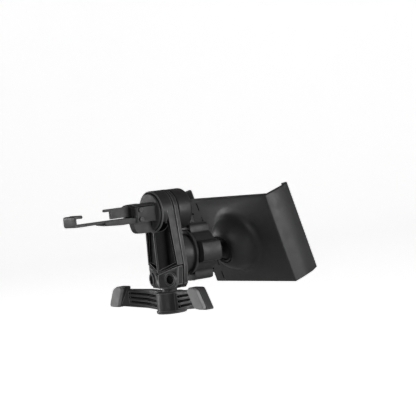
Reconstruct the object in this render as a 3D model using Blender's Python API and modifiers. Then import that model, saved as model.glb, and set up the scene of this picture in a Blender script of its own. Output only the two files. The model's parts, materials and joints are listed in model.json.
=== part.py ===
"""Air vent phone holder.

A hooked clip grips one blade of an air vent. Its rotor turns in a drum at the top of a leg, and a knob
behind the drum draws the hook in on a screw. A two footed brace under the leg bears on the vent's face.
A collar on the leg carries a ball stem with a lobed lock nut, and the ball holds a cradle with a fixed
jaw and a spring loaded sliding jaw.

Metres, +Z up, +Y towards the vent, X along the cradle's width. The origin is the middle of the flat
seat that bears on the vent blade's edge.
"""

import math

import bmesh
import bpy
from mathutils import Matrix, Vector

# Fits
GAP = 0.0003  # between pieces that touch
RUNNING_GAP = 0.00035  # between pieces that turn or slide

# Drum, along Y round the clip's axis; Y = 0 in the drum's frame is its front face
DRUM_RADIUS = 0.0084
DRUM_LIP = 0.0006  # wall left round the rotor at the front
DISC_FRONT = 0.0004
HOUSING_REAR = -0.0060
PLATE_THICKNESS = 0.0020
KNOB_RADIUS = 0.0083
KNOB_LENGTH = 0.0069
KNOB_EDGE = 0.0014
DRUM_FACETS = 48

# Clip
SEAT_REACH = 0.0190  # from the drum's front face to the blade seat
SEAT_HEIGHT = 0.0009  # of the seat's middle above the drum's axis
SEAT_WIDTH = 0.0016
LIP_REACH = 0.0029
LIP_THICKNESS = 0.0011
JAW_TOP = 0.0035
JAW_WEB_BOTTOM = -0.00065
BLOCK_HALF = 0.0052
BLOCK_FRONT = 0.0098
BLOCK_TOP = 0.0027
BLOCK_BOTTOM = -0.0033
ROOF_SIDE = 0.0034
ROOF_CREST = 0.0042
RIDGE_END = 0.0106
RIDGE_FOOT = 0.0126
GUIDE_BOTTOM = -0.0079
GUIDE_HALF = 0.0017
NOSE_REACH = 0.0243
NOSE_HALF = 0.0042
NOSE_BOTTOM = -0.0034
HUB_RADIUS = 0.0050
SCREW_RADIUS = 0.0013
THREAD_LEAD = 0.0020
PIN_FIT = 0.00012
JAW_PIN_RADIUS = 0.0006
JAW_PIN_HEAD = 0.0010
JAW_PIN_ALONG = 0.0079
UPPER_PIN = 0.0017
LOWER_PIN = -0.0021
LOWER_PIN_INNER = 0.0038

# Hook
HOOK_REACH = 0.0380
HOOK_THICKNESS = 0.0010
HOOK_HALF = 0.0044
HOOK_STEM_HALF = 0.0030
HOOK_TOP_FACE = -0.0010
HOOK_LIP_TOP = 0.0024
HOOK_LIP_REACH = 0.0027
HOOK_TRAVEL = 0.0070
HOOK_ROOT_FRONT = 0.0056
HOOK_ROOT_LENGTH = 0.0040
HOOK_ROOT_HALF = 0.0026

# Leg
LEG_FRONT = -0.0004
LEG_HALF_MIDDLE = 0.0105
LEG_HALF_BOTTOM = 0.0093
LEG_WIDEST = -0.0225
LEG_BOTTOM = -0.0312
LEG_CORNER = 0.0016
FLANK_ANGLE = math.radians(15.4)
CHEVRON_APEX = -0.0250
CHEVRON_SIDE = -0.0218
POCKET_RIM = 0.0011
POCKET_RIB = 0.0007
POCKET_DEPTH = 0.0034
BOSS_RADIUS = 0.0028
BOSS_HEIGHT = 0.0009
BOSS_ACROSS = LEG_HALF_MIDDLE - 0.0041
BOSS_HEIGHT_Z = -0.0275
SCREW_HEAD_RADIUS = 0.0015
SCREW_SHANK_RADIUS = 0.0009
SCREW_LENGTH = 0.0029
SCREW_SINK = 0.0009

# Brace
BRACE_AXIS_Y = -0.0053
HUB_TOP = -0.0328
HUB_BOTTOM = -0.0414
BRACE_HUB_RADIUS = 0.0058
BRACE_FLANGE_RADIUS = 0.0062
BRACE_FLANGE = 0.0012
NECK_RADIUS = 0.0030
PIN_RADIUS = 0.0015
PIN_HEAD_RADIUS = 0.0022
PIN_HEAD = 0.0012
PIN_TOP = -0.0272
FOOT_ACROSS = 0.0283
FOOT_HEIGHT = 0.0086
FOOT_WIDTH = 0.0070
FOOT_MIDDLE = -0.0344
FOOT_SPLAY = math.radians(29.0)
FOOT_FRONT = 0.0030
FOOT_BLOCK = 0.0032
PAD_THICKNESS = 0.0011
ARM_THICKNESS = 0.0034
ARM_ROOT_HEIGHT = 0.0080
ARM_TIP_HEIGHT = 0.0070
ARM_ROOT_MIDDLE = -0.0367
ARM_GROOVES = 3
ARM_GROOVE_HEIGHT = 0.0011
ARM_GROOVE_DEPTH = 0.0012

# Swivel collar and lock nut, along Y
SWIVEL_HEIGHT = -0.0182  # of the swivel axis from the drum's axis
COLLAR_RADIUS = 0.0079
COLLAR_LENGTH = 0.0056
COLLAR_FLANGE_RADIUS = 0.0093
COLLAR_FLANGE = 0.0013
COLLAR_TUBE_RADIUS = 0.0062
COLLAR_BORE = 0.0040
NUT_LENGTH = 0.0090
NUT_LOBE_RADIUS = 0.0118
NUT_VALLEY_RADIUS = 0.0089
NUT_LOBES = 4
NUT_EDGE = 0.0008
STEM_RADIUS = 0.0034
STEM_WAIST = 0.0023
STEM_HEAD_RADIUS = 0.0052
STEM_HEAD = 0.0009

# Ball joint
BALL_Y = -0.0382
BALL_RADIUS = 0.0061
LINER_INNER = BALL_RADIUS + RUNNING_GAP
LINER_OUTER = LINER_INNER + 0.0009
CAVITY_RADIUS = LINER_OUTER + RUNNING_GAP
LINER_MOUTH = math.radians(48.0)
CRADLE_PITCH = math.radians(-17.0)

# Cradle, in its own frame round the ball's centre, upright before it is pitched
BACK_FACE = -0.0052
BACK_WALL = 0.0010
BODY_DEPTH = 0.0028
ARM_HALF_HEIGHT = 0.0150
SPRING_CLEARANCE = 0.0021  # from the arm's edge to the spring's axis
SPRING_Z = ARM_HALF_HEIGHT + SPRING_CLEARANCE
CRADLE_HALF_HEIGHT = SPRING_Z + 0.0020
BODY_RIGHT = -0.0274
BODY_LEFT = 0.0264
DOME_BASE_RADIUS = 0.0163
DOME_HEIGHT = 0.0099
COVER_THICKNESS = 0.0006
BACK_PAD_THICKNESS = 0.0007
JAW_DEPTH = 0.0146
JAW_WALL = 0.0016
JAW_BEND = 0.0054
JAW_TIP_INSET = 0.0019
JAW_LIP = 0.0030
GRIP_WIDTH = 0.0671
PAD_WALL = 0.0008
ARM_PLATE = 0.0008
RAIL_INNER = 0.0094
RAIL_TAIL = 0.0030
PILLAR_RADIUS = CAVITY_RADIUS + 0.0010
SLOT_WIDTH = 0.0006
SLOT_X = 0.0203
SLOT_SPANS = tuple((first * CRADLE_HALF_HEIGHT, last * CRADLE_HALF_HEIGHT)
                   for first, last in ((0.262, 0.592), (0.749, 0.921)))
EDGE_HOLE_RADIUS = 0.0005
EDGE_HOLE_Z = 0.675 * CRADLE_HALF_HEIGHT
CRADLE_SCREW_RADIUS = 0.0011
CRADLE_SCREW_Z = CRADLE_HALF_HEIGHT - 0.0031
CRADLE_SCREW_X = BODY_RIGHT + 0.0079
CRADLE_SCREW_AT = tuple((x, z) for x in (CRADLE_SCREW_X, CRADLE_SCREW_X + 0.0115) for z in (CRADLE_SCREW_Z, -CRADLE_SCREW_Z))
COVER_EDGE = 0.0009  # of the body left round the cover
COVER_RIGHT = BODY_RIGHT + 0.0046
SPRING_COIL_RADIUS = 0.00042
SPRING_WIRE_RADIUS = 0.00011
SPRING_TURNS = 9
SPRING_START = -0.0040

for old in list(bpy.data.objects):
    bpy.data.objects.remove(old, do_unlink=True)

parts = bpy.data.collections.new("air_vent_phone_holder")
cutters = bpy.data.collections.new("cutters")
for group in (parts, cutters):
    bpy.context.scene.collection.children.link(group)


def empty(name, location, parent=None, rotation=(0.0, 0.0, 0.0)):
    """A named frame that pieces hang on."""
    frame = bpy.data.objects.new(name, None)
    frame.empty_display_size = 0.004
    frame.location = location
    frame.rotation_euler = rotation
    frame.parent = parent
    parts.objects.link(frame)
    return frame


drum = empty("drum_axis", (0.0, -SEAT_REACH, -SEAT_HEIGHT))
swivel_axis = empty("swivel_axis", (0.0, HOUSING_REAR, SWIVEL_HEIGHT), drum)
ball = empty("ball_centre", (0.0, BALL_Y, SWIVEL_HEIGHT), drum)
cradle = empty("cradle_frame", (0.0, 0.0, 0.0), ball, (CRADLE_PITCH, 0.0, 0.0))


def material(name, colour, roughness, metallic=0.0):
    """A plain Principled material."""
    made = bpy.data.materials.new(name)
    made.use_nodes = True
    shader = made.node_tree.nodes["Principled BSDF"]
    shader.inputs["Base Color"].default_value = (*colour, 1.0)
    shader.inputs["Roughness"].default_value = roughness
    shader.inputs["Metallic"].default_value = metallic
    return made


def black_plastic(name):
    return material(name, (0.035, 0.035, 0.037), 0.45)


def rubber(name):
    return material(name, (0.045, 0.045, 0.047), 0.8)


def steel(name):
    return material(name, (0.55, 0.56, 0.58), 0.35, 1.0)


def place(name, mesh, parent, finish=None):
    """Puts a mesh in the scene: a part when it has a finish, and otherwise a hidden cutter."""
    made = bpy.data.objects.new(name, mesh)
    made.parent = parent
    if finish is None:
        cutters.objects.link(made)
        made.hide_render = True
        made.display_type = "WIRE"
    else:
        parts.objects.link(made)
        mesh.materials.append(finish(name))
    return made


def smooth(mesh, degrees=35.0):
    mesh.shade_smooth()
    mesh.set_sharp_from_angle(angle=math.radians(degrees))


def to_mesh(name, work):
    mesh = bpy.data.meshes.new(name)
    work.normal_update()
    bmesh.ops.recalc_face_normals(work, faces=work.faces)
    work.to_mesh(mesh)
    work.free()
    return mesh


def block(name, low, high, parent, finish=None):
    """A box between two corners."""
    work = bmesh.new()
    bmesh.ops.create_cube(work, size=1.0)
    low, high = Vector(low), Vector(high)
    for corner in work.verts:
        corner.co = Vector(
            (low + high)[i] / 2 + corner.co[i] * (high - low)[i] for i in range(3)
        )
    return place(name, to_mesh(name, work), parent, finish)


def rod(name, radius, start, end, parent, finish=None, facets=24):
    """A round bar between two points."""
    start, end = Vector(start), Vector(end)
    work = bmesh.new()
    bmesh.ops.create_cone(
        work, cap_ends=True, segments=facets, radius1=radius, radius2=radius, depth=(end - start).length
    )
    turn = (end - start).to_track_quat("Z", "Y").to_matrix().to_4x4()
    work.transform(Matrix.Translation((start + end) / 2) @ turn)
    mesh = to_mesh(name, work)
    smooth(mesh)
    return place(name, mesh, parent, finish)


AXES = {
    "along_x": Matrix(((0, 0, 1), (1, 0, 0), (0, 1, 0))),  # an outline in Y and Z
    "along_y": Matrix(((1, 0, 0), (0, 0, -1), (0, 1, 0))),  # an outline in X and Z
    "along_z": Matrix.Identity(3),  # an outline in X and Y
}


def slab(name, outline, low, high, direction, parent, finish=None):
    """A flat outline, filled and extruded from low to high along one axis."""
    curve = bpy.data.curves.new(name, "CURVE")
    curve.dimensions = "2D"
    curve.fill_mode = "BOTH"
    curve.extrude = abs(high - low) / 2
    spline = curve.splines.new("POLY")
    spline.points.add(len(outline) - 1)
    spline.use_cyclic_u = True
    for point, (a, b) in zip(spline.points, outline):
        point.co = (a, b, 0.0, 1.0)
    carrier = bpy.data.objects.new(name, curve)
    bpy.context.scene.collection.objects.link(carrier)
    graph = bpy.context.evaluated_depsgraph_get()
    raw = bpy.data.meshes.new_from_object(carrier.evaluated_get(graph))
    work = bmesh.new()
    work.from_mesh(raw)
    bmesh.ops.remove_doubles(work, verts=work.verts, dist=1e-6)
    axes = AXES[direction]
    middle = (low + high) / 2
    shift = {"along_x": (middle, 0, 0), "along_y": (0, middle, 0), "along_z": (0, 0, middle)}[direction]
    work.transform(Matrix.Translation(shift) @ axes.to_4x4())
    mesh = to_mesh(name, work)
    bpy.data.objects.remove(carrier)
    bpy.data.curves.remove(curve)
    bpy.data.meshes.remove(raw)
    smooth(mesh)
    return place(name, mesh, parent, finish)


def turned(name, profile, parent, finish=None, facets=DRUM_FACETS, closed=False, centre=(0.0, 0.0, 0.0)):
    """A profile of (radius, place along +Y) turned round the Y axis. It runs from the front back."""
    mesh = bpy.data.meshes.new(name)
    points = [(radius, 0.0, along) for radius, along in profile]
    edges = [(i, i + 1) for i in range(len(points) - 1)]
    if closed:
        edges.append((len(points) - 1, 0))
    mesh.from_pydata(points, edges, [])
    made = place(name, mesh, parent, finish)
    made.location = centre
    made.rotation_euler = (-math.pi / 2, 0.0, 0.0)
    screw = made.modifiers.new("turn", "SCREW")
    screw.steps = facets
    screw.render_steps = facets
    screw.use_merge_vertices = True
    screw.merge_threshold = 1e-6
    screw.use_smooth_shade = True
    return made


def upright(made, location):
    """Stands a turned piece on the Z axis at a place."""
    made.rotation_euler = (0.0, 0.0, 0.0)
    made.location = location
    return made


def boolean(target, other, operation):
    change = target.modifiers.new(other.name, "BOOLEAN")
    change.operation = operation
    change.object = other
    change.solver = "EXACT"


def cut(target, *others):
    for other in others:
        boolean(target, other, "DIFFERENCE")
    return target


def join(target, *others):
    for other in others:
        boolean(target, other, "UNION")
    return target


def keep(target, *others):
    for other in others:
        boolean(target, other, "INTERSECT")
    return target


def bevel(target, width, segments=1, degrees=40.0):
    edge = target.modifiers.new("edge", "BEVEL")
    edge.width = width
    edge.segments = segments
    edge.limit_method = "ANGLE"
    edge.angle_limit = math.radians(degrees)
    return target


def arc(centre, radius, first, last, count):
    """Points on a circle, by angles in degrees."""
    return [
        (
            centre[0] + radius * math.cos(math.radians(first + (last - first) * i / count)),
            centre[1] + radius * math.sin(math.radians(first + (last - first) * i / count)),
        )
        for i in range(count + 1)
    ]


def rounded(points, radii, count=3):
    """A closed outline whose corners are rounded by the given radii."""
    out = []
    total = len(points)
    for i, (point, radius) in enumerate(zip(points, radii)):
        here = Vector(point)
        before = (Vector(points[i - 1]) - here).normalized()
        after = (Vector(points[(i + 1) % total]) - here).normalized()
        if radius == 0:
            out.append(tuple(here))
            continue
        for step in range(count + 1):
            t = step / count
            start, end = here + before * radius, here + after * radius
            bent = start * (1 - t) ** 2 + here * 2 * t * (1 - t) + end * t**2
            out.append(tuple(bent))
    return out


# Clip


def both_sides(half):
    """Closes an outline given on its +X side, by mirroring it."""
    return half + [(-x, y) for x, y in reversed(half)]


def make_rotor():
    disc_radius = DRUM_RADIUS - DRUM_LIP - RUNNING_GAP
    disc_rear = -0.0014
    hub_end = HOUSING_REAR - GAP - PLATE_THICKNESS - 0.0016
    ring_front = HOUSING_REAR - GAP - PLATE_THICKNESS - RUNNING_GAP
    groove = ((HUB_RADIUS, ring_front), (HUB_RADIUS - 0.0006, ring_front),
              (HUB_RADIUS - 0.0006, ring_front - 0.0008), (HUB_RADIUS, ring_front - 0.0008))
    profile = [(0, DISC_FRONT), (disc_radius - 0.0003, DISC_FRONT), (disc_radius, DISC_FRONT - 0.0003),
               (disc_radius, disc_rear),
               (HUB_RADIUS, disc_rear), *groove, (HUB_RADIUS, hub_end), (0, hub_end)]
    rotor = turned("clip_rotor", profile, drum, black_plastic)
    shoulder = both_sides([(BLOCK_HALF, -0.0006), (BLOCK_HALF, BLOCK_FRONT - 0.0005),
                           (BLOCK_HALF - 0.0005, BLOCK_FRONT)])
    body = slab("rotor_block", shoulder, BLOCK_BOTTOM, BLOCK_TOP, "along_z", drum)
    guide_side = rounded(
        [(-0.0006, BLOCK_BOTTOM + 0.0004), (0.0096, BLOCK_BOTTOM + 0.0004), (0.0084, GUIDE_BOTTOM),
         (0.00018, GUIDE_BOTTOM), (0.00018, -0.0062), (-0.0006, -0.0058)], [0, 0.0006, 0.0024, 0, 0, 0], 4)
    guide = slab("rotor_guide", guide_side, -GUIDE_HALF, GUIDE_HALF, "along_x", drum)
    nose_side = [(0.0060, BLOCK_BOTTOM + 0.0002), (0.0060, -0.0013), (NOSE_REACH - 0.0050, -0.0014),
                 (NOSE_REACH - 0.0004, -0.0015), (NOSE_REACH, -0.0019), (NOSE_REACH - 0.0012, -0.0026),
                 (NOSE_REACH - 0.0045, -0.0032), (0.0160, NOSE_BOTTOM)]
    nose = slab("rotor_nose", nose_side, -NOSE_HALF, NOSE_HALF, "along_x", drum)
    tunnel_bottom = HOOK_TOP_FACE - HOOK_THICKNESS - RUNNING_GAP
    channel = HOOK_ROOT_HALF + RUNNING_GAP
    tunnel = block("rotor_tunnel", (-channel, hub_end - 0.001, tunnel_bottom),
                   (channel, HOOK_ROOT_FRONT + GAP + 0.0006, HOOK_ROOT_HALF - 0.0004), drum)
    stem_half = HOOK_STEM_HALF + RUNNING_GAP
    strip_way = block("rotor_strip_way", (-stem_half, -0.0026, tunnel_bottom),
                      (stem_half, NOSE_REACH + 0.001, HOOK_TOP_FACE + RUNNING_GAP), drum)
    web_half = SEAT_WIDTH / 2 + GAP
    web_way = block("rotor_web_way", (-web_half, HOOK_ROOT_FRONT + 0.0004, -0.0008),
                    (web_half, NOSE_REACH, BLOCK_TOP + 0.001), drum)
    holes = [jaw_pin_way("rotor_upper", -0.008, 0.008, UPPER_PIN)]
    for side in (-1, 1):
        holes.append(jaw_pin_way(f"rotor_lower_{side}", side * (LOWER_PIN_INNER - PIN_FIT), side * 0.008, LOWER_PIN))
    join(rotor, body, guide, nose)
    return cut(rotor, tunnel, strip_way, web_way, *holes)


def make_fixed_jaw():
    """The jaw that the blade's near edge bears on: a roof over the root, and a thin web with a lip."""
    roof_low = BLOCK_TOP + GAP
    arch = [(BLOCK_HALF, roof_low), (BLOCK_HALF, ROOF_SIDE), (BLOCK_HALF * 0.72, ROOF_SIDE + 0.0005),
            (BLOCK_HALF * 0.36, ROOF_CREST - 0.0002)]
    jaw = slab("fixed_jaw", both_sides(arch), DISC_FRONT + GAP, BLOCK_FRONT, "along_y", drum, black_plastic)
    bevel(jaw, 0.0003)
    lip_low = JAW_TOP - LIP_THICKNESS
    tip = SEAT_REACH + LIP_REACH
    web = slab("jaw_web", [(0.0060, JAW_WEB_BOTTOM), (SEAT_REACH, JAW_WEB_BOTTOM), (SEAT_REACH, lip_low),
                           (tip - 0.0003, lip_low), (tip, lip_low + 0.0003), (tip, JAW_TOP - 0.0003),
                           (tip - 0.0003, JAW_TOP), (RIDGE_FOOT, JAW_TOP), (RIDGE_END, ROOF_CREST),
                           (0.0060, ROOF_CREST)], -SEAT_WIDTH / 2, SEAT_WIDTH / 2, "along_x", drum)
    return cut(join(jaw, web), jaw_pin_way("jaw_upper", -0.008, 0.008, UPPER_PIN))


def jaw_pin_way(prefix, start, end, height):
    """The hole for a pin across the root."""
    return rod(f"{prefix}_pin_way", JAW_PIN_RADIUS + PIN_FIT, (start, JAW_PIN_ALONG, height),
               (end, JAW_PIN_ALONG, height), drum, facets=12)


def make_jaw_pins():
    """One pin goes through the root and the web, and a short one each side lies under it."""
    face = BLOCK_HALF + GAP
    sides = (("jaw_pin_upper", -1, -face - 0.0002, UPPER_PIN), ("jaw_pin_lower_right", -1, -LOWER_PIN_INNER, LOWER_PIN),
             ("jaw_pin_lower_left", 1, LOWER_PIN_INNER, LOWER_PIN))
    for name, side, start, height in sides:
        through = name == "jaw_pin_upper"
        ends = (-face - 0.0002, face + 0.0002) if through else (start, side * (face + 0.0002))
        pin = rod(name, JAW_PIN_RADIUS, (ends[0], JAW_PIN_ALONG, height), (ends[1], JAW_PIN_ALONG, height), drum,
                  steel, 12)
        for head_side in ((-1, 1) if through else (side,)):
            head = rod(f"{name}_head_{head_side}", JAW_PIN_HEAD, (head_side * face, JAW_PIN_ALONG, height),
                       (head_side * (face + 0.0004), JAW_PIN_ALONG, height), drum, facets=12)
            join(pin, bevel(head, 0.0002))


def make_hook():
    """A strip with an upturned end and a lip, and a threaded root that the screw draws."""
    bottom = HOOK_TOP_FACE - HOOK_THICKNESS
    rear = HOOK_ROOT_FRONT - HOOK_ROOT_LENGTH
    outer = rounded([(rear, bottom), (HOOK_REACH, bottom), (HOOK_REACH, HOOK_LIP_TOP),
                     (HOOK_REACH - HOOK_THICKNESS - HOOK_LIP_REACH, HOOK_LIP_TOP),
                     (HOOK_REACH - HOOK_THICKNESS - HOOK_LIP_REACH, HOOK_LIP_TOP - HOOK_THICKNESS),
                     (HOOK_REACH - HOOK_THICKNESS, HOOK_LIP_TOP - HOOK_THICKNESS),
                     (HOOK_REACH - HOOK_THICKNESS, HOOK_TOP_FACE), (rear, HOOK_TOP_FACE)],
                    [0, 0.0011, 0.0009, 0.0002, 0.0002, 0.0003, 0.0005, 0])
    hook = slab("hook", outer, -HOOK_HALF, HOOK_HALF, "along_x", drum, black_plastic)
    neck = HOOK_REACH - 0.0056
    for side in (-1, 1):
        shape = [(side * HOOK_ROOT_HALF, rear - 0.001), (side * HOOK_ROOT_HALF, HOOK_ROOT_FRONT + 0.0004),
                 (side * HOOK_STEM_HALF, HOOK_ROOT_FRONT + 0.0008), (side * HOOK_STEM_HALF, neck - 0.0010),
                 (side * (HOOK_HALF - 0.0002), neck), (side * HOOK_HALF, neck + 0.0006),
                 (side * 0.009, neck + 0.0006), (side * 0.009, rear - 0.001)]
        cut(hook, slab(f"hook_waist_{side}", shape, -0.004, 0.004, "along_z", drum))
    root = block("hook_root", (-HOOK_ROOT_HALF, rear, bottom), (HOOK_ROOT_HALF, HOOK_ROOT_FRONT, 0.0019), drum)
    thread = rod("hook_thread", SCREW_RADIUS + GAP, (0, rear - 0.001, 0),
                 (0, HOOK_ROOT_FRONT + HOOK_TRAVEL + 0.0004, 0), drum, facets=16)
    return cut(join(hook, root), thread)


def make_screw_and_knob():
    knob_front = HOUSING_REAR - GAP - PLATE_THICKNESS - GAP
    knob_rear = knob_front - KNOB_LENGTH
    knob_profile = [(0, knob_front), (KNOB_RADIUS - 0.0003, knob_front), (KNOB_RADIUS, knob_front - 0.0003),
                    (KNOB_RADIUS, knob_rear + KNOB_EDGE)]
    knob_profile += [(KNOB_RADIUS - KNOB_EDGE + KNOB_EDGE * math.cos(a), knob_rear + KNOB_EDGE
                      - KNOB_EDGE * math.sin(a)) for a in (math.radians(d) for d in (30, 60, 90))]
    knob_profile += [(0.0058, knob_rear), (0.0054, knob_rear + 0.0006), (0, knob_rear + 0.0006)]
    knob = turned("tension_knob", knob_profile, drum, black_plastic)
    recess = rod("knob_recess", HUB_RADIUS + 0.0019, (0, knob_front + 0.001, 0), (0, knob_front - 0.0022, 0), drum,
                 facets=32)
    socket = rod("knob_socket", SCREW_RADIUS + 0.0007 + GAP, (0, knob_front, 0), (0, knob_rear + 0.0018, 0), drum,
                 facets=6)
    cut(knob, recess, socket)
    head_rear = knob_rear + 0.0018 + GAP
    head_front = knob_front - 0.0022 - 0.0006
    profile = [(0, HOOK_ROOT_FRONT + 0.0001), (SCREW_RADIUS - 0.0003, HOOK_ROOT_FRONT + 0.0001),
               (SCREW_RADIUS, HOOK_ROOT_FRONT - 0.0003), (SCREW_RADIUS, head_front), (0, head_front)]
    screw = turned("draw_screw", profile, drum, steel, 16)
    head = rod("draw_screw_head", SCREW_RADIUS + 0.0007, (0, head_front + 0.0002, 0), (0, head_rear, 0), drum,
               facets=6)
    join(screw, head)


def make_retaining_ring():
    front = HOUSING_REAR - GAP - PLATE_THICKNESS - RUNNING_GAP - 0.0001
    inner = HUB_RADIUS - 0.0006 + 0.00025
    ring = turned("retaining_ring", [(inner, front), (HUB_RADIUS + 0.0011, front),
                                     (HUB_RADIUS + 0.0011, front - 0.0006), (inner, front - 0.0006)],
                  drum, steel, 32, closed=True)
    opening = block("ring_opening", (-0.0009, front - 0.002, 0), (0.0009, front + 0.002, 0.008), drum)
    cut(ring, opening)


# Leg


def leg_half(height):
    """Half the leg's width at a height below the drum's axis."""
    if height >= LEG_WIDEST:
        share = min(1.0, max(0.0, height / LEG_WIDEST))
        return DRUM_RADIUS + (LEG_HALF_MIDDLE - DRUM_RADIUS) * share
    share = (height - LEG_WIDEST) / (LEG_BOTTOM - LEG_WIDEST)
    return LEG_HALF_MIDDLE + (LEG_HALF_BOTTOM - LEG_HALF_MIDDLE) * share


def chevron(half, drop=0.0):
    """The V line across the leg, as its height at the sides and at the middle."""
    slope = (CHEVRON_SIDE - CHEVRON_APEX) / LEG_HALF_MIDDLE
    return CHEVRON_APEX + slope * half - drop


def flank_cutters(prefix):
    """Two wedges that slope the leg's front back from its prow."""
    made = []
    for side in (-1, 1):
        drop = 0.02 * math.tan(FLANK_ANGLE)
        shape = [(0, LEG_FRONT), (side * 0.02, LEG_FRONT - drop), (side * 0.02, 0.01), (0, 0.01)]
        made.append(slab(f"{prefix}_flank_{side}", shape, -0.05, 0.0, "along_z", drum))
    return made


def make_housing():
    barrel_front = -0.0003
    housing = rod("leg_housing", DRUM_RADIUS, (0, HOUSING_REAR, 0), (0, barrel_front, 0), drum, black_plastic,
                  DRUM_FACETS)
    bevel(housing, 0.0003)
    half = [(DRUM_RADIUS, 0.0), (leg_half(-0.010), -0.010), (LEG_HALF_MIDDLE, LEG_WIDEST + 0.001),
            (LEG_HALF_MIDDLE, CHEVRON_SIDE)]
    outline = [(x, z) for x, z in half] + [(0, CHEVRON_APEX)] + [(-x, z) for x, z in reversed(half)]
    leg = slab("leg_prow", outline, HOUSING_REAR, LEG_FRONT, "along_y", drum)
    cut(leg, *flank_cutters("leg"))
    for side in (-1, 1):
        front = [(side * POCKET_RIB, -0.0070), (side * (DRUM_RADIUS - 0.0009), -0.0046),
                 (side * (leg_half(-0.006) - POCKET_RIM), -0.0060),
                 (side * (LEG_HALF_MIDDLE - POCKET_RIM), chevron(LEG_HALF_MIDDLE, -POCKET_RIM)),
                 (side * POCKET_RIB, chevron(POCKET_RIB, -POCKET_RIM))]
        pocket = slab(f"pocket_{side}", front, -0.02, 0.01, "along_y", drum)
        far = LEG_HALF_MIDDLE + 0.001
        plan = [(side * POCKET_RIB, 0.002)]
        plan += [(side * (POCKET_RIB + 0.0048 * (1 - math.cos(a))), LEG_FRONT - POCKET_DEPTH * math.sin(a))
                 for a in (math.radians(d) for d in (0, 15, 30, 45, 60, 75, 90))]
        plan += [(side * far, LEG_FRONT - POCKET_DEPTH), (side * far, 0.002)]
        keep(pocket, slab(f"pocket_plan_{side}", plan, -0.05, 0.01, "along_z", drum))
        cut(leg, pocket)
    join(housing, leg)
    recess = rod("housing_recess", DRUM_RADIUS - DRUM_LIP, (0, 0.005, 0), (0, -0.0014 - RUNNING_GAP, 0), drum,
                 facets=DRUM_FACETS)
    bore = rod("housing_bore", HUB_RADIUS + RUNNING_GAP, (0, 0.005, 0), (0, -0.02, 0), drum, facets=36)
    return cut(housing, recess, bore)


def make_face_plate():
    """The plate behind the leg, round at the drum and widening down."""
    front = HOUSING_REAR - GAP
    rear = front - PLATE_THICKNESS
    crown = arc((0, 0), DRUM_RADIUS, 0, 180, 16)
    left = [(-leg_half(LEG_WIDEST), LEG_WIDEST), (-LEG_HALF_BOTTOM, LEG_BOTTOM + LEG_CORNER),
            (-LEG_HALF_BOTTOM + LEG_CORNER, LEG_BOTTOM)]
    right = [(-x, z) for x, z in reversed(left)]
    plate = slab("face_plate", crown + left + right, rear, front, "along_y", drum, black_plastic)
    bevel(plate, 0.0003)
    bore = rod("plate_bore", HUB_RADIUS + RUNNING_GAP, (0, 0.005, 0), (0, -0.02, 0), drum, facets=36)
    neck = rod("plate_neck_bore", COLLAR_BORE + GAP, (0, 0, SWIVEL_HEIGHT), (0, -0.02, SWIVEL_HEIGHT), drum,
               facets=32)
    return cut(plate, bore, neck, *pin_ways("plate"))


def pin_ways(prefix):
    """The clearance round the brace's pin and its head."""
    shank = rod(f"{prefix}_pin_way", PIN_RADIUS + RUNNING_GAP, (0, BRACE_AXIS_Y, -0.04), (0, BRACE_AXIS_Y, PIN_TOP),
                drum, facets=20)
    head = rod(f"{prefix}_head_way", PIN_HEAD_RADIUS + RUNNING_GAP, (0, BRACE_AXIS_Y, PIN_TOP - PIN_HEAD
               - RUNNING_GAP), (0, BRACE_AXIS_Y, PIN_TOP + RUNNING_GAP), drum, facets=20)
    return shank, head


def make_cover():
    """The block under the chevron, with a screw boss on each flank."""
    side_top = CHEVRON_SIDE - GAP
    half = [(LEG_HALF_MIDDLE, side_top), (LEG_HALF_BOTTOM, LEG_BOTTOM + LEG_CORNER),
            (LEG_HALF_BOTTOM - LEG_CORNER, LEG_BOTTOM)]
    outline = [(0, CHEVRON_APEX - GAP)] + [(-x, z) for x, z in half] + [(x, z) for x, z in reversed(half)]
    cover = slab("chevron_cover", outline, HOUSING_REAR, LEG_FRONT, "along_y", drum, black_plastic)
    cut(cover, *flank_cutters("cover"))
    bevel(cover, 0.0003)
    for side, tag in ((-1, "right"), (1, "left")):
        out = Vector((side * math.sin(FLANK_ANGLE), math.cos(FLANK_ANGLE), 0))
        foot = Vector((side * BOSS_ACROSS, LEG_FRONT - BOSS_ACROSS * math.tan(FLANK_ANGLE), BOSS_HEIGHT_Z))
        face = foot + out * BOSS_HEIGHT
        boss = rod(f"cover_boss_{tag}", BOSS_RADIUS, foot - out * 0.001, face, drum, facets=28)
        bevel(boss, 0.0004, 2)
        join(cover, boss)
        seat = face - out * (SCREW_SINK + 0.0008)
        counterbore = rod(f"boss_counterbore_{tag}", SCREW_HEAD_RADIUS + GAP, face + out * 0.001, seat - out * GAP,
                          drum, facets=24)
        tip = seat - out * SCREW_LENGTH
        hole = rod(f"boss_hole_{tag}", SCREW_SHANK_RADIUS + GAP, seat + out * 0.001, tip - out * 0.0012, drum,
                   facets=16)
        cut(cover, counterbore, hole)
        screw = rod(f"cover_screw_{tag}", SCREW_HEAD_RADIUS, seat, face - out * SCREW_SINK, drum, steel, 24)
        shank = rod(f"cover_shank_{tag}", SCREW_SHANK_RADIUS, tip, seat + out * 0.0002, drum, facets=16)
        join(screw, shank)
        cross = Vector((math.cos(FLANK_ANGLE) * side, -math.sin(FLANK_ANGLE), 0))
        for name, long_way in (("flat", cross), ("tall", Vector((0, 0, 1)))):
            start = face - out * (SCREW_SINK + 0.0001)
            bar = rod(f"screw_slot_{name}_{tag}", 0.00022, start - long_way * 0.0008, start + long_way * 0.0008,
                      drum, facets=6)
            cut(screw, bar)
    return cut(cover, *pin_ways("cover"))


# Brace


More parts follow.
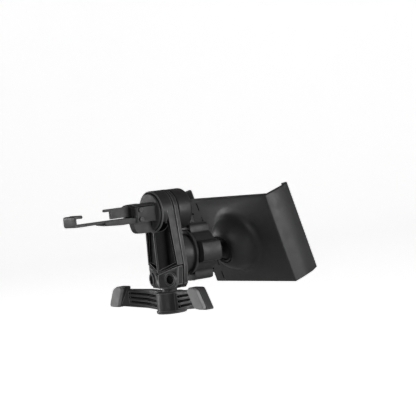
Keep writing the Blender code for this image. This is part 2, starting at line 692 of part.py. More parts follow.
def make_brace():
    """A hub with two ribbed arms that end in foot blocks."""
    profile = [(0, HUB_TOP + 0.0014), (NECK_RADIUS, HUB_TOP + 0.0014), (NECK_RADIUS, HUB_TOP),
               (BRACE_HUB_RADIUS - 0.0003, HUB_TOP), (BRACE_HUB_RADIUS, HUB_TOP - 0.0003),
               (BRACE_HUB_RADIUS, HUB_BOTTOM + BRACE_FLANGE), (BRACE_FLANGE_RADIUS, HUB_BOTTOM + BRACE_FLANGE),
               (BRACE_FLANGE_RADIUS, HUB_BOTTOM + 0.0004), (BRACE_FLANGE_RADIUS - 0.0004, HUB_BOTTOM),
               (0, HUB_BOTTOM)]
    brace = upright(turned("brace", profile, drum, black_plastic), (0, BRACE_AXIS_Y, 0))
    block_front = FOOT_FRONT - PAD_THICKNESS - GAP
    block_rear = block_front - FOOT_BLOCK
    for side in (-1, 1):
        inner, outer = side * 0.0021, side * (FOOT_ACROSS - 0.0016)
        root, tip = ARM_ROOT_HEIGHT / 2, ARM_TIP_HEIGHT / 2
        outline = [(inner, ARM_ROOT_MIDDLE - root), (outer, FOOT_MIDDLE - 0.0004 - tip),
                   (outer, FOOT_MIDDLE - 0.0004 + tip), (inner, ARM_ROOT_MIDDLE + root)]
        arm = slab(f"brace_arm_{side}", outline, -0.02, 0.01, "along_y", drum)
        rear_root, rear_tip = BRACE_AXIS_Y - ARM_THICKNESS / 2, block_rear + 0.0002
        plan = [(inner, rear_root), (side * 0.014, rear_root + 0.0004), (outer, rear_tip),
                (outer, rear_tip + ARM_THICKNESS - 0.0006), (side * 0.014, rear_root + 0.0004 + ARM_THICKNESS),
                (inner, rear_root + ARM_THICKNESS)]
        keep(arm, slab(f"arm_plan_{side}", plan, -0.05, -0.02, "along_z", drum))
        for number in range(ARM_GROOVES):
            share = (number + 1) / (ARM_GROOVES + 1) - 0.5
            start = (side * 0.0072, ARM_ROOT_MIDDLE + share * ARM_ROOT_HEIGHT)
            end = (side * (FOOT_ACROSS - 0.0056), FOOT_MIDDLE - 0.0004 + share * ARM_TIP_HEIGHT)
            reach = ARM_GROOVE_HEIGHT / 2
            shape = [(start[0], start[1] - reach), (end[0], end[1] - reach), (end[0], end[1] + reach),
                     (start[0], start[1] + reach)]
            for face in ("front", "rear"):
                groove = slab(f"groove_{face}_{number}_{side}", shape, -0.02, 0.01, "along_y", drum)
                near = rear_root - 0.001 if face == "rear" else rear_root + ARM_THICKNESS - ARM_GROOVE_DEPTH
                far = near + ARM_GROOVE_DEPTH + 0.001
                lead = block_rear + 0.0002 - (rear_root + 0.0004)
                band = [(side * 0.002, near), (side * 0.014, near + 0.0004), (outer, near + 0.0004 + lead),
                        (outer, far + 0.0004 + lead), (side * 0.014, far + 0.0004), (side * 0.002, far)]
                keep(groove, slab(f"groove_band_{face}_{number}_{side}", band, -0.05, -0.02, "along_z", drum))
                cut(arm, groove)
        foot = slab(f"foot_block_{side}", foot_outline(side, 0.0), block_rear, block_front, "along_y", drum)
        bevel(foot, 0.0005)
        join(brace, arm, foot)
    bore = rod("hub_bore", PIN_RADIUS + GAP, (0, BRACE_AXIS_Y, HUB_TOP + 0.01), (0, BRACE_AXIS_Y, HUB_BOTTOM
               + 0.0016), drum, facets=20)
    return cut(brace, bore)


def foot_outline(side, inset):
    """A foot's face: a block with round corners that leans out at its bottom."""
    tall, wide = FOOT_HEIGHT / 2 - inset, FOOT_WIDTH / 2 - inset
    lean = math.tan(FOOT_SPLAY)
    corners = [(side * (FOOT_ACROSS - lean * z) + x, FOOT_MIDDLE + z)
               for x, z in ((-wide, -tall), (wide, -tall), (wide, tall), (-wide, tall))]
    return rounded(corners, [0.0011] * 4, 3)


def make_feet():
    rear = FOOT_FRONT - PAD_THICKNESS
    for side, tag in ((-1, "right"), (1, "left")):
        pad = slab(f"foot_pad_{tag}", foot_outline(side, 0.0003), rear, FOOT_FRONT, "along_y", drum,
                   lambda name: material(name, (0.22, 0.22, 0.22), 0.85))
        bevel(pad, 0.0002)


def make_brace_pin():
    low = HUB_BOTTOM + 0.0016 + GAP
    profile = [(0, PIN_TOP), (PIN_HEAD_RADIUS, PIN_TOP), (PIN_HEAD_RADIUS, PIN_TOP - PIN_HEAD),
               (PIN_RADIUS, PIN_TOP - PIN_HEAD), (PIN_RADIUS, low), (0, low)]
    upright(turned("brace_pin", profile, drum, steel, 24), (0, BRACE_AXIS_Y, 0))


# Swivel and ball


def collar_places():
    """Where the collar, nut and stem begin and end, along Y from the drum's front face."""
    collar_front = HOUSING_REAR - GAP - PLATE_THICKNESS - GAP
    flange_front = collar_front - COLLAR_LENGTH
    flange_rear = flange_front - COLLAR_FLANGE
    nut_front = flange_rear - RUNNING_GAP
    nut_rear = nut_front - NUT_LENGTH
    return collar_front, flange_front, flange_rear, nut_front, nut_rear


def make_collar():
    collar_front, flange_front, flange_rear, _, nut_rear = collar_places()
    tube_rear = nut_rear + 0.0016
    neck_front = collar_front + PLATE_THICKNESS + GAP
    profile = [(STEM_RADIUS + RUNNING_GAP, neck_front), (COLLAR_BORE, neck_front), (COLLAR_BORE, collar_front),
               (COLLAR_RADIUS, collar_front), (COLLAR_RADIUS, flange_front),
               (COLLAR_FLANGE_RADIUS - 0.0003, flange_front), (COLLAR_FLANGE_RADIUS, flange_front - 0.0003),
               (COLLAR_FLANGE_RADIUS, flange_rear + 0.0003), (COLLAR_FLANGE_RADIUS - 0.0003, flange_rear),
               (COLLAR_TUBE_RADIUS, flange_rear), (COLLAR_TUBE_RADIUS, tube_rear),
               (STEM_RADIUS + RUNNING_GAP, tube_rear)]
    turned("swivel_collar", profile, drum, black_plastic, 40, closed=True, centre=(0, 0, SWIVEL_HEIGHT))


def nut_outline(count=48):
    """Four broad lobes with rounded valleys between them, round the swivel axis."""
    points = []
    for i in range(count):
        angle = 2 * math.pi * i / count
        wave = math.cos(NUT_LOBES * angle)
        share = max(0.0, min(1.0, (wave + 0.55) / 0.9))
        ease = share * share * (3 - 2 * share)
        radius = NUT_VALLEY_RADIUS + (NUT_LOBE_RADIUS - NUT_VALLEY_RADIUS) * ease
        points.append((radius * math.cos(angle), radius * math.sin(angle)))
    return points


def make_nut():
    _, _, _, nut_front, nut_rear = (place_along - HOUSING_REAR for place_along in collar_places())
    nut = slab("lock_nut", nut_outline(), nut_rear, nut_front, "along_y", swivel_axis, black_plastic)
    bevel(nut, NUT_EDGE, 2, 60)
    bore = rod("nut_bore", COLLAR_TUBE_RADIUS + RUNNING_GAP, (0, nut_front + 0.001, 0), (0, nut_rear + 0.0012, 0),
               swivel_axis, facets=36)
    mouth = rod("nut_mouth", STEM_RADIUS + 0.0012, (0, nut_front, 0), (0, nut_rear - 0.001, 0), swivel_axis,
                facets=32)
    return cut(nut, bore, mouth)


def make_stem():
    """The stem turns in the collar, held by a head in front of it, and ends in a ball."""
    collar_front, _, _, _, nut_rear = collar_places()
    head_rear = collar_front + PLATE_THICKNESS + GAP + RUNNING_GAP
    head_front = head_rear + STEM_HEAD
    waist_start, waist_end = nut_rear - 0.0004, nut_rear - 0.0022
    profile = [(0, head_front), (STEM_HEAD_RADIUS, head_front), (STEM_HEAD_RADIUS, head_rear),
               (STEM_RADIUS, head_rear), (STEM_RADIUS, waist_start), (STEM_WAIST, waist_end)]
    first = math.asin(STEM_WAIST / BALL_RADIUS)
    steps = 11
    for i in range(steps + 1):
        angle = first + (math.pi - first) * i / steps
        radius = 0 if i == steps else BALL_RADIUS * math.sin(angle)
        profile.append((radius, BALL_Y + BALL_RADIUS * math.cos(angle)))
    turned("ball_stem", profile, drum, black_plastic, 28, centre=(0, 0, SWIVEL_HEIGHT))


def stem_head_recess():
    """The room in the housing for the stem's head."""
    head_rear = HOUSING_REAR + RUNNING_GAP
    return rod("stem_head_way", STEM_HEAD_RADIUS + RUNNING_GAP, (0, HOUSING_REAR - 0.001, SWIVEL_HEIGHT),
               (0, head_rear + STEM_HEAD + RUNNING_GAP, SWIVEL_HEIGHT), drum, facets=28)


def make_liner():
    """The split cup between the ball and the cradle's dome."""
    steps = 9
    profile = []
    for radius, order in ((LINER_OUTER, range(steps + 1)), (LINER_INNER, range(steps, -1, -1))):
        for i in order:
            angle = LINER_MOUTH + (math.radians(150) - LINER_MOUTH) * i / steps
            profile.append((radius * math.sin(angle), radius * math.cos(angle)))
    turned("socket_liner", profile, cradle, rubber, 28, closed=True)


# Cradle


def make_cradle_body():
    """The back, the dome and the fixed jaw are one moulding."""
    front = BACK_FACE - BODY_DEPTH
    body = block("cradle_body", (BODY_RIGHT, front, -CRADLE_HALF_HEIGHT), (BODY_LEFT, BACK_FACE, CRADLE_HALF_HEIGHT),
                 cradle, black_plastic)
    bevel(body, 0.0004)
    rim_inner = math.sqrt(CAVITY_RADIUS**2 - (BACK_FACE + DOME_HEIGHT) ** 2)
    shape = [(rim_inner + 0.0002, DOME_HEIGHT), (rim_inner + 0.0010, DOME_HEIGHT - 0.0002)]
    flank = ((0.0082, 0.0088), (0.0097, 0.0074), (0.0109, 0.0055), (0.0116, 0.0036), (0.0122, 0.0021),
             (0.0131, 0.0011), (0.0143, 0.0004), (DOME_BASE_RADIUS, -0.0003))
    shape += list(flank) + [(0.0, -0.0004)]
    dome = turned("dome", [(0, DOME_HEIGHT)] + shape, cradle, facets=40, centre=(0, BACK_FACE, 0))
    jaw = slab("jaw_right", jaw_outline(-1, BODY_RIGHT), -CRADLE_HALF_HEIGHT, CRADLE_HALF_HEIGHT, "along_z", cradle)
    bevel(jaw, 0.0003)
    join(body, dome, jaw)
    room_top = BACK_FACE - BACK_WALL
    room = block("slide_room", (SPRING_START, front - 0.001, -CRADLE_HALF_HEIGHT + 0.0013),
                 (BODY_LEFT - 0.0024, room_top, CRADLE_HALF_HEIGHT - 0.0013), cradle)
    pillar = rod("pillar", PILLAR_RADIUS, (0, room_top + 0.0005, 0), (0, front - 0.003, 0), cradle, facets=40)
    cut(room, pillar)
    gate = block("slide_gate", (BODY_LEFT - 0.003, front - 0.001, -ARM_HALF_HEIGHT - RUNNING_GAP),
                 (BODY_LEFT + 0.001, room_top, ARM_HALF_HEIGHT + RUNNING_GAP), cradle)
    shelf = block("cover_shelf", (COVER_RIGHT, front - 0.001, -CRADLE_HALF_HEIGHT + COVER_EDGE),
                  (BODY_LEFT + 0.001, front + COVER_THICKNESS + GAP, CRADLE_HALF_HEIGHT - COVER_EDGE), cradle)
    socket = turned("socket_way", socket_profile(front - 0.002), cradle, facets=40)
    cut(body, room, gate, shelf, socket)
    for start, end in SLOT_SPANS:
        for side in (-1, 1):
            low, high = sorted((side * start, side * end))
            cut(body, block(f"slot_{start}_{side}", (SLOT_X - SLOT_WIDTH / 2, front - 0.001, low),
                            (SLOT_X + SLOT_WIDTH / 2, BACK_FACE + 0.001, high), cradle))
    for side in (-1, 1):
        at = (BODY_LEFT - 0.0009, side * EDGE_HOLE_Z)
        cut(body, rod(f"edge_hole_{side}", EDGE_HOLE_RADIUS, (at[0], BACK_FACE + 0.001, at[1]),
                      (at[0], front - 0.001, at[1]), cradle, facets=10))
    for number, (x, z) in enumerate(CRADLE_SCREW_AT):
        cut(body, rod(f"body_screw_hole_{number}", 0.0006 + GAP, (x, front - 0.001, z),
                      (x, BACK_FACE - 0.0006, z), cradle, facets=10))
    return body


def socket_profile(end, steps=9):
    """Half a globe for the liner, open straight to the front for assembly."""
    globe = [(CAVITY_RADIUS * math.sin(math.pi * i / steps / 2), CAVITY_RADIUS * math.cos(math.pi * i / steps / 2))
             for i in range(steps + 1)]
    return [(0, CAVITY_RADIUS)] + globe[1:] + [(CAVITY_RADIUS, end), (0, end)]


def jaw_outline(side, outer):
    """A jaw's section in X and Y: a wall that bends out a little and a lip that turns in over the front."""
    inner = outer - side * JAW_WALL
    bend_y = BACK_FACE - JAW_BEND
    tip_y = BACK_FACE - JAW_DEPTH
    tip_x = outer - side * JAW_TIP_INSET
    return [(outer, BACK_FACE - 0.0002), (outer + side * 0.0002, bend_y), (outer - side * 0.0003, tip_y + 0.0040),
            (tip_x + side * 0.0004, tip_y + 0.0010), (tip_x, tip_y), (tip_x - side * 0.0012, tip_y),
            (tip_x - side * JAW_LIP, tip_y + 0.0010), (inner - side * 0.0014, tip_y + 0.0022),
            (inner, tip_y + 0.0034), (inner, BACK_FACE - 0.0002)]


def jaw_inner_faces():
    """X of the two jaws' inner walls, less their pads."""
    right = BODY_RIGHT + JAW_WALL
    return right, right + GRIP_WIDTH + 2 * (PAD_WALL + GAP)


def make_slide_jaw():
    """The sliding jaw: a block outside the body on two rails inside it."""
    _, wall = jaw_inner_faces()
    room_top = BACK_FACE - BACK_WALL
    plate_back = room_top - RUNNING_GAP
    plate_front = plate_back - ARM_PLATE
    jaw = slab("slide_jaw", jaw_outline(1, wall + JAW_WALL), -CRADLE_HALF_HEIGHT, CRADLE_HALF_HEIGHT, "along_z",
               cradle, black_plastic)
    bevel(jaw, 0.0003)
    arm = block("slide_arm", (BODY_LEFT + GAP, BACK_FACE - BODY_DEPTH + 0.0001, -ARM_HALF_HEIGHT),
                (wall + JAW_WALL - 0.0002, BACK_FACE - 0.0003, ARM_HALF_HEIGHT), cradle)
    bevel(arm, 0.0003)
    join(jaw, arm)
    tongue = block("slide_tongue", (BODY_LEFT - 0.0070, plate_front, -ARM_HALF_HEIGHT),
                   (BODY_LEFT + 0.001, plate_back, ARM_HALF_HEIGHT), cradle)
    join(jaw, tongue)
    for side in (-1, 1):
        low, high = sorted((side * RAIL_INNER, side * ARM_HALF_HEIGHT))
        rail = block(f"slide_rail_{side}", (RAIL_TAIL, plate_front, low), (BODY_LEFT - 0.0065, plate_back, high),
                     cradle)
        low, high = sorted((side * (ARM_HALF_HEIGHT - 0.0004), side * (SPRING_Z + 0.0003)))
        tab = block(f"slide_tab_{side}", (0.0092, plate_front, low), (0.0104, plate_back, high), cradle)
        join(jaw, rail, tab)
    return jaw


def make_springs():
    """A tension spring above and below the rails pulls the sliding jaw in."""
    middle = BACK_FACE - BACK_WALL - RUNNING_GAP - ARM_PLATE / 2
    start, end = SPRING_START + 0.0006, 0.0092 - GAP
    for side, tag in ((1, "upper"), (-1, "lower")):
        curve = bpy.data.curves.new(f"spring_{tag}", "CURVE")
        curve.dimensions = "3D"
        curve.bevel_depth = SPRING_WIRE_RADIUS
        curve.bevel_resolution = 1
        curve.use_fill_caps = True
        per_turn = 7
        count = SPRING_TURNS * per_turn
        spline = curve.splines.new("POLY")
        spline.points.add(count)
        for i, point in enumerate(spline.points):
            angle = 2 * math.pi * i / per_turn
            point.co = (start + (end - start) * i / count, middle + SPRING_COIL_RADIUS * math.cos(angle),
                        side * SPRING_Z + SPRING_COIL_RADIUS * math.sin(angle), 1.0)
        made = bpy.data.objects.new(f"spring_{tag}", curve)
        made.parent = cradle
        parts.objects.link(made)
        curve.materials.append(steel(made.name))


def make_cradle_cover():
    front = BACK_FACE - BODY_DEPTH
    cover = block("cradle_cover", (COVER_RIGHT + GAP, front, -CRADLE_HALF_HEIGHT + COVER_EDGE + GAP),
                  (BODY_LEFT, front + COVER_THICKNESS, CRADLE_HALF_HEIGHT - COVER_EDGE - GAP), cradle, black_plastic)
    for number, (x, z) in enumerate(CRADLE_SCREW_AT):
        cut(cover, rod(f"cover_screw_hole_{number}", 0.0006 + GAP, (x, front - 0.001, z),
                       (x, front + 0.002, z), cradle, facets=10))
        screw = rod(f"cradle_screw_{number + 1}", CRADLE_SCREW_RADIUS, (x, front - GAP, z),
                    (x, front - GAP - 0.0005, z), cradle, steel, 16)
        join(screw, rod(f"cradle_shank_{number}", 0.0006, (x, BACK_FACE - 0.0006 - GAP, z),
                        (x, front - GAP - 0.0002, z), cradle, facets=10))
    return cover


def make_pads():
    front = BACK_FACE - BODY_DEPTH - GAP
    pad = block("back_pad", (COVER_RIGHT + 0.0013, front - BACK_PAD_THICKNESS, -CRADLE_HALF_HEIGHT + 0.0045),
                (BODY_LEFT - 0.0020, front, CRADLE_HALF_HEIGHT - 0.0045), cradle, rubber)
    bevel(pad, 0.0002)
    right, left = jaw_inner_faces()
    for tag, wall, side in (("right", right, 1), ("left", left, -1)):
        low, high = sorted((wall + side * GAP, wall + side * (GAP + PAD_WALL)))
        grip = block(f"jaw_pad_{tag}", (low, BACK_FACE - 0.0100, -CRADLE_HALF_HEIGHT + 0.0020),
                     (high, BACK_FACE - 0.0042, CRADLE_HALF_HEIGHT - 0.0020), cradle, rubber)
        bevel(grip, 0.0002)


make_rotor()
make_fixed_jaw()
make_jaw_pins()
make_hook()
make_screw_and_knob()
make_retaining_ring()
leg_housing = make_housing()
cut(leg_housing, stem_head_recess())
make_face_plate()
make_cover()
make_brace()
make_feet()
make_brace_pin()
make_collar()
make_nut()
make_stem()
make_liner()
make_cradle_body()
make_slide_jaw()
make_springs()
make_cradle_cover()
make_pads()
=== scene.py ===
"""Looks for the air vent phone holder.

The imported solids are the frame. The knob, collar, nut and ball stem are drawn again as fine turned or
lobed surfaces, the foot pads with round corners, and the moulded pieces as merged copies of their
solids with small radii on their edges. The springs, liner, draw screw and brace pin keep their solids.
Lengths are in metres, with +Z up and +Y towards the vent.
"""

import json
import math

import bmesh
import bpy
import numpy as np
from mathutils import Matrix, Vector


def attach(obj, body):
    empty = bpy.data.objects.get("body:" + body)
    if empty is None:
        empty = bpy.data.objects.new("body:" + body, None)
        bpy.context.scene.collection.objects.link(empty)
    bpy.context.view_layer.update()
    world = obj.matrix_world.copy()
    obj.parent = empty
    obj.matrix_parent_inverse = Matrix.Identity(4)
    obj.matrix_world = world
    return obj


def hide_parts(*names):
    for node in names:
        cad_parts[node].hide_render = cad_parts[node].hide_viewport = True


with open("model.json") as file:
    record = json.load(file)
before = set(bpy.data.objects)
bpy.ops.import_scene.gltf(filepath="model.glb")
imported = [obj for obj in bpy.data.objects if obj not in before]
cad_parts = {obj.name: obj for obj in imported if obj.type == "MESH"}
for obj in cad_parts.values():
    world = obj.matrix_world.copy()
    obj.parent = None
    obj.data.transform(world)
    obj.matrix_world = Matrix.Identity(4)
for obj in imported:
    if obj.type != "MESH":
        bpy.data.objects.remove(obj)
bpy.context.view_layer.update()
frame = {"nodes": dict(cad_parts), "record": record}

BODY_OF = {node: body for body, nodes in frame["record"]["behaviour"]["bodies"].items() for node in nodes}
SLOT_OF = {part["node"]: part["material_slot"] for part in frame["record"]["subparts"]}

# Places shared with the solids, from the middle of the blade seat
BALL_ALONG = -0.0382
DRUM = np.array([0.0, -0.0190, -0.0009])
SWIVEL = DRUM + np.array([0.0, 0.0, -0.0182])
BALL = SWIVEL + np.array([0.0, BALL_ALONG, 0.0])
PITCH = math.radians(-17.0)

# The leg's pockets, from the drum's middle. Their half width grows over POCKET_RUN of height.
POCKET_HALF_WIDTH, POCKET_GAIN, POCKET_RUN = 0.0084, 0.0021, 0.0225
POCKET_RIB, POCKET_RIM = 0.0006, 0.0002
POCKET_BACK, POCKET_MOUTH = -0.0040, -0.00045
POCKET_FOOT, POCKET_TOP = -0.0262, -0.0040

# The slots and holes of the cradle, from the ball and in the cradle's own directions
CRADLE_BACK, BACK_MARGIN = -0.0052, 0.00005
SLOT_START, SLOT_END = 0.0199, 0.0207
HOLE_ACROSS, HOLE_HEIGHT, HOLE_REACH = 0.0255, 0.0129, 0.0006

# The grooves of the brace's arms, from the drum's middle. An arm has a middle height and a height.
ARM_START, ARM_END, ARM_MARGIN = 0.0072, 0.0227, 0.01
ARM_AT_ROOT, ARM_AT_TIP = (-0.0367, 0.008), (-0.0348, 0.007)
GROOVES, GROOVE_HALF, GROOVE_MARGIN = 3, 0.00055, 0.00006

# How the copies of the solids are merged and rounded
MERGE_DISTANCE, FLAT_ANGLE, EDGE_ANGLE = 2e-6, math.radians(0.8), math.radians(30.0)
# Material layers of a copy: its own finish, a lighter painted highlight on rounded edges and painted shade in
# recesses
MAIN_LAYER, EDGE_HIGHLIGHT_LAYER, RECESS_SHADE_LAYER = 0, 1, 2
# Without clamping, the rounding leaves spikes or black faces on these
CLAMPED = ("clip_rotor", "cradle_body", "slide_jaw")


# Surfaces


def arc_of(centre, radius, first, last, count):
    """Points on a circle in (radius, along), from one angle to another in degrees."""
    angle = np.radians(np.linspace(first, last, count))
    return np.column_stack([centre[0] + radius * np.cos(angle), centre[1] + radius * np.sin(angle)])


def filleted(points, radii, count=5):
    """A path whose corners are turned into quadratic curves that start and end radii away from them."""
    points = [np.array(p, float) for p in points]
    out = [points[0][None, :]]
    for before, here, after, radius in zip(points, points[1:], points[2:], radii):
        back, on = before - here, after - here
        back_length, on_length = np.linalg.norm(back), np.linalg.norm(on)
        # A little under half of each side, so that two neighbouring curves never meet
        reach = min(radius, back_length / 2.05, on_length / 2.05)
        start, end = here + back / back_length * reach, here + on / on_length * reach
        t = np.linspace(0, 1, count)[:, None]
        out.append(start * (1 - t) ** 2 + here * 2 * t * (1 - t) + end * t**2)
    out.append(points[-1][None, :])
    return np.concatenate(out)


def grid_faces(rows, columns, wrap_rows, wrap_columns=True):
    """Quads between the rows and columns of a grid of points, as an array of corner numbers."""
    row = np.arange(rows if wrap_rows else rows - 1)
    column = np.arange(columns if wrap_columns else columns - 1)
    r, c = np.meshgrid(row, column, indexing="ij")
    r2, c2 = (r + 1) % rows, (c + 1) % columns
    quads = np.stack([r * columns + c, r * columns + c2, r2 * columns + c2, r2 * columns + c], axis=-1)
    return quads.reshape(-1, 4)


def solid_mesh(name, points, quads, sharp):
    """A mesh from arrays, with its doubles merged, its faces out and its edges sharp past sharp degrees."""
    mesh = bpy.data.meshes.new(name)
    mesh.from_pydata(points.tolist(), [], quads.tolist())
    work = bmesh.new()
    work.from_mesh(mesh)
    bmesh.ops.remove_doubles(work, verts=work.verts, dist=1e-7)
    bmesh.ops.dissolve_degenerate(work, edges=work.edges, dist=1e-7)
    work.normal_update()
    bmesh.ops.recalc_face_normals(work, faces=work.faces)
    work.to_mesh(mesh)
    work.free()
    mesh.shade_smooth()
    mesh.set_sharp_from_angle(angle=math.radians(sharp))
    return mesh


def turned_points(profile, around, axis_point, ring=None):
    """A profile of (radius, along Y) carried round an axis along Y: x = r cos a, z = r sin a.

    ring gives, for each angle, how far the outline stands beyond the profile. The profile's third column
    says how much of that each of its points takes.
    """
    angle = np.linspace(0, 2 * np.pi, around, endpoint=False)
    radius = np.repeat(profile[:, :1], around, axis=1)
    if ring is not None:
        radius = radius + profile[:, 2:3] * ring(angle)[None, :]
    along = np.repeat(profile[:, 1:2], around, axis=1)
    x, z = radius * np.cos(angle), radius * np.sin(angle)
    return np.stack([x, along, z], axis=-1).reshape(-1, 3) + axis_point


def place(name, mesh, body, finish, slot, *nodes):
    """Puts a finished piece in the scene, on its body, in place of the solids it stands for."""
    piece = bpy.data.objects.new(name, mesh)
    bpy.context.scene.collection.objects.link(piece)
    if not mesh.materials:
        mesh.materials.append(finish)
    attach(piece, body)
    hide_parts(*nodes)
    return piece


def in_pocket(centre):
    """Whether a face of the leg, by its middle, belongs to the pocket on either side of the rib."""
    across, along, height = np.array(centre) - DRUM
    flank = POCKET_HALF_WIDTH + POCKET_GAIN * min(1.0, -height / POCKET_RUN)
    return (POCKET_RIB < abs(across) < flank - POCKET_RIM and POCKET_BACK < along < POCKET_MOUTH
            and POCKET_FOOT < height < POCKET_TOP)


def in_slot(centre):
    """Whether a face of the cradle belongs to the slots or small holes near its open end."""
    turn = Matrix.Rotation(-PITCH, 3, "X")
    across, along, height = turn @ (Vector(centre) - Vector(BALL))
    hole = math.hypot(across - HOLE_ACROSS, abs(height) - HOLE_HEIGHT)
    return (SLOT_START < across < SLOT_END or hole < HOLE_REACH) and along < CRADLE_BACK - BACK_MARGIN


def in_groove(centre):
    """Whether a face of the brace belongs to the grooves along its arms."""
    across, _, height = np.array(centre) - DRUM
    run = (abs(across) - ARM_START) / (ARM_END - ARM_START)
    if not -ARM_MARGIN < run < 1 + ARM_MARGIN:
        return False
    (root_middle, root_height), (tip_middle, tip_height) = ARM_AT_ROOT, ARM_AT_TIP
    for number in range(GROOVES):
        share = (number + 1) / (GROOVES + 1) - 0.5
        root = root_middle + share * root_height
        tip = tip_middle + share * tip_height
        if abs(height - root - (tip - root) * run) < GROOVE_HALF + GROOVE_MARGIN:
            return True
    return False


def fine_copy(node, body, finish, slot, radius):
    """A merged copy of a solid: flat faces made whole, its edges rounded a little, its curves smooth."""
    mesh = frame["nodes"][node].data.copy()
    work = bmesh.new()
    work.from_mesh(mesh)
    bmesh.ops.remove_doubles(work, verts=work.verts, dist=MERGE_DISTANCE)
    bmesh.ops.dissolve_limit(work, angle_limit=FLAT_ANGLE, verts=work.verts, edges=work.edges)
    bmesh.ops.triangulate(work, faces=[face for face in work.faces if len(face.verts) > 4])
    work.to_mesh(mesh)
    work.free()
    mesh.materials.clear()
    # Faces in a recess take a darker finish as painted shade; the leg's pockets get painted light and shade
    inside, recess_shade = RECESS_SHADES.get(node, (None, finish))
    for layer in (finish, EDGE_HIGHLIGHT_OF.get(finish.name, finish), recess_shade):
        mesh.materials.append(layer)
    for face in mesh.polygons:
        face.material_index = RECESS_SHADE_LAYER if inside and inside(face.center) else MAIN_LAYER
    mesh.shade_smooth()
    mesh.set_sharp_from_angle(angle=EDGE_ANGLE)
    piece = place(f"{node}_skin", mesh, body, finish, slot, node)
    if radius:
        edge = piece.modifiers.new("edge", "BEVEL")
        edge.width = radius
        edge.segments = 2
        edge.limit_method = "ANGLE"
        edge.angle_limit = EDGE_ANGLE
        edge.harden_normals = True
        # The rounded edges take the lighter finish, a painted highlight
        edge.material = EDGE_HIGHLIGHT_LAYER
        edge.use_clamp_overlap = node in CLAMPED


# Finishes. Scales are in features per metre and depths in metres.

# The colour sockets of a Mix node share their names with its other sockets, so they go by number
MIX_LOW, MIX_HIGH, MIX_RESULT = 6, 7, 2


def shader_of(name, roughness, metallic=0.0):
    """A new material and its Principled shader, with what is even over the surface set on its sockets."""
    finish = bpy.data.materials.new(name)
    finish.use_nodes = True
    shader = finish.node_tree.nodes["Principled BSDF"]
    shader.inputs["Roughness"].default_value = roughness
    shader.inputs["Metallic"].default_value = metallic
    return finish, shader


def maths(tree, operation, *values):
    """The result of a math node whose inputs are sockets or numbers."""
    node = tree.nodes.new("ShaderNodeMath")
    node.operation = operation
    for socket, value in zip(node.inputs, values):
        if isinstance(value, float):
            socket.default_value = value
        else:
            tree.links.new(value, socket)
    return node.outputs["Value"]


def noise_on(tree, scale, detail, stretch=(1.0, 1.0, 1.0)):
    """A noise in Object coordinates."""
    coords = tree.nodes.new("ShaderNodeTexCoord")
    mapping = tree.nodes.new("ShaderNodeMapping")
    mapping.inputs["Scale"].default_value = stretch
    noise = tree.nodes.new("ShaderNodeTexNoise")
    noise.inputs["Scale"].default_value = scale
    noise.inputs["Detail"].default_value = detail
    tree.links.new(coords.outputs["Object"], mapping.inputs["Vector"])
    tree.links.new(mapping.outputs["Vector"], noise.inputs["Vector"])
    return noise.outputs["Fac"]


def spread(tree, source, low, high, start=0.3, end=0.7):
    """Maps a value to another range. Most of a noise lies between the default start and end."""
    ranged = tree.nodes.new("ShaderNodeMapRange")
    for key, value in (("From Min", start), ("From Max", end), ("To Min", low), ("To Max", high)):
        ranged.inputs[key].default_value = value
    tree.links.new(source, ranged.inputs["Value"])
    return ranged.outputs["Result"]


def blend_colours(tree, share, low, high):
    """A colour between low and high. high is a colour or a socket that gives one."""
    mix = tree.nodes.new("ShaderNodeMix")
    mix.data_type = "RGBA"
    mix.inputs[MIX_LOW].default_value = (*low, 1.0)
    if isinstance(high, tuple):
        mix.inputs[MIX_HIGH].default_value = (*high, 1.0)
    else:
        tree.links.new(high, mix.inputs[MIX_HIGH])
    tree.links.new(share, mix.inputs["Factor"])
    return mix.outputs[MIX_RESULT]


def bump_of(tree, height, depth, strength, under=None):
    """A bump from a height, on top of another bump where there is one."""
    bump = tree.nodes.new("ShaderNodeBump")
    bump.inputs["Distance"].default_value = depth
    bump.inputs["Strength"].default_value = strength
    tree.links.new(height, bump.inputs["Height"])
    if under is not None:
        tree.links.new(under, bump.inputs["Normal"])
    return bump.outputs["Normal"]


def mottle(tree, shader, noise, dark, light):
    """Lets a noise lead the shader's colour from dark to light."""
    colour = blend_colours(tree, spread(tree, noise, 0.0, 1.0), dark, light)
    tree.links.new(colour, shader.inputs["Base Color"])


def moulded(name, dark, light, roughness, grain, depth, sheen):
    """Moulded black plastic: fine spark grain, faint flow marks and a little wear in its gloss."""
    finish, shader = shader_of(name, roughness)
    tree = finish.node_tree
    mottle(tree, shader, noise_on(tree, 55.0, 3.0, (1.0, 1.0, 2.2)), dark, light)
    wear = noise_on(tree, 420.0, 5.0)
    tree.links.new(spread(tree, wear, roughness - 0.07, roughness + 0.08), shader.inputs["Roughness"])
    coarse = bump_of(tree, noise_on(tree, 700.0, 2.0), depth * 0.8, 0.25)
    fine = bump_of(tree, noise_on(tree, grain, 3.0), depth, 0.4, coarse)
    tree.links.new(fine, shader.inputs["Normal"])
    shader.inputs["Specular IOR Level"].default_value = sheen
    return finish


def rubbery(name, dark, light):
    """Soft rubber: matt, a little dusty, with a pebbled skin."""
    roughness = 0.8
    finish, shader = shader_of(name, roughness)
    tree = finish.node_tree
    mottle(tree, shader, noise_on(tree, 260.0, 6.0), dark, light)
    wear = noise_on(tree, 900.0, 3.0)
    tree.links.new(spread(tree, wear, roughness - 0.06, roughness + 0.08), shader.inputs["Roughness"])
    pebbles = tree.nodes.new("ShaderNodeTexVoronoi")
    pebbles.inputs["Scale"].default_value = 2600.0
    coords = tree.nodes.new("ShaderNodeTexCoord")
    tree.links.new(coords.outputs["Object"], pebbles.inputs["Vector"])
    tree.links.new(bump_of(tree, pebbles.outputs["Distance"], 0.00004, 0.35), shader.inputs["Normal"])
    shader.inputs["Specular IOR Level"].default_value = 0.3
    return finish


